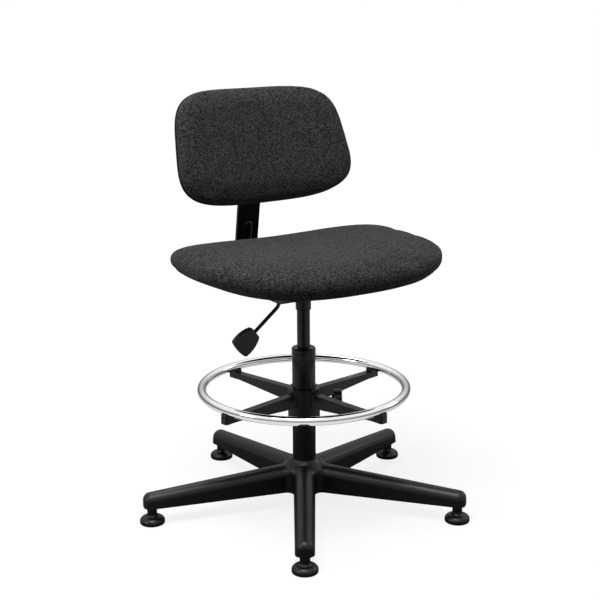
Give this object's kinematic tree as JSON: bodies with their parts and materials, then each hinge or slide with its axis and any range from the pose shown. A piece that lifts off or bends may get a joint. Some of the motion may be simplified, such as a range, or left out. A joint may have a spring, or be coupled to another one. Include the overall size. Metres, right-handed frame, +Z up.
{
  "type": "drafting chair",
  "caption": "Armless drafting chair with a contoured padded seat and backrest on a bent bar, a gas-lift column with a chromed footring, and a star base on glides.",
  "frame": {"origin": "on the floor, on the column's axis", "axes": "+Z up along the column, -Y the way the seat faces, +X to the sitter's left"},
  "size_m": [0.6985, 0.6792, 0.8945],
  "materials": {
    "black_nylon": "satin moulded nylon",
    "black_paint": "semi-gloss black powder coat",
    "chrome": "polished chrome plate",
    "steel": "zinc-plated or ground steel",
    "rubber": "matt rubber",
    "plywood": "moulded plywood",
    "fabric": "charcoal woven upholstery over foam"
  },
  "bodies": {
    "base": {"base_star": "black_nylon", "glide_1": "black_nylon", "glide_2": "black_nylon", "glide_3": "black_nylon", "glide_4": "black_nylon", "glide_5": "black_nylon", "glide_stems": "steel", "column_tube": "black_paint", "guide_bush": "black_nylon", "bearing_race_lower": "steel", "bearing_balls": "steel"},
    "rod": {"piston_rod": "steel", "piston": "steel", "bearing_race_upper": "steel", "rod_clip": "steel", "rubber_buffer": "rubber"},
    "seat": {"pressure_cylinder": "black_paint", "mech_pan": "black_paint", "cone_socket": "black_paint", "lever_pin": "steel", "seat_board": "plywood", "seat_tee_nuts": "steel", "seat_bolts": "steel", "seat_cushion": "fabric", "bar_channel": "black_paint", "wear_strip": "black_nylon", "channel_screws": "steel"},
    "pin": {"release_pin": "steel"},
    "lever": {"lever_arm": "steel", "lever_rod": "black_paint", "lever_paddle": "black_nylon"},
    "depth_clamp": {"depth_knob": "black_nylon", "depth_screw": "steel"},
    "back_frame": {"back_bar": "black_paint"},
    "backrest": {"back_bracket": "black_paint", "bracket_screws": "steel", "back_shell": "black_nylon", "back_panel": "plywood", "back_cushion": "fabric"},
    "height_clamp": {"height_knob": "black_nylon", "height_screw": "steel"},
    "footring": {"footring_ring": "chrome", "footring_hub": "black_nylon", "ring_saddles": "black_nylon", "saddle_screws": "steel"},
    "ring_clamp": {"ring_knob": "black_nylon", "ring_screw": "steel"}
  },
  "joints": [
    {"name": "seat_swivel", "type": "hinge", "parent": "base", "child": "rod", "pos_m": [0, 0, 0.1], "axis": [0, 0, 1], "continuous": true},
    {"name": "seat_lift", "type": "slide", "parent": "rod", "child": "seat", "axis": [0, 0, 1], "range_m": [-0.05, 0.08]},
    {"name": "lever_lift", "type": "hinge", "parent": "seat", "child": "lever", "pos_m": [-0.045, 0, 0.484], "axis": [0, 1, 0], "range_deg": [0, 6]},
    {"name": "pin_press", "type": "slide", "parent": "seat", "child": "pin", "axis": [0, 0, -1], "range_m": [0, 0.006], "stiffness_N_per_m": 800},
    {"name": "depth_knob_turn", "type": "hinge", "parent": "seat", "child": "depth_clamp", "pos_m": [0, 0.15, 0.47], "axis": [0, 0, -1], "range_deg": [-270, 0]},
    {"name": "back_depth", "type": "slide", "parent": "seat", "child": "back_frame", "axis": [0, 1, 0], "range_m": [-0.015, 0.045]},
    {"name": "back_height", "type": "slide", "parent": "back_frame", "child": "backrest", "axis": [0, 0.289, 0.9573], "range_m": [-0.04, 0.04]},
    {"name": "height_knob_turn", "type": "hinge", "parent": "backrest", "child": "height_clamp", "pos_m": [0, 0.2592, 0.7569], "axis": [0, 0.9573, -0.289], "range_deg": [-270, 0]},
    {"name": "footring_height", "type": "slide", "parent": "base", "child": "footring", "axis": [0, 0, 1], "range_m": [-0.07, 0.03]},
    {"name": "ring_knob_turn", "type": "hinge", "parent": "footring", "child": "ring_clamp", "pos_m": [0.03753, -0.02391, 0.24], "axis": [0.8434, -0.5373, 0], "range_deg": [-270, 0]}
  ],
  "couplings": [
    {"joint": "pin_press", "follows": "lever_lift", "m_per_rad": 0.0462}
  ]
}
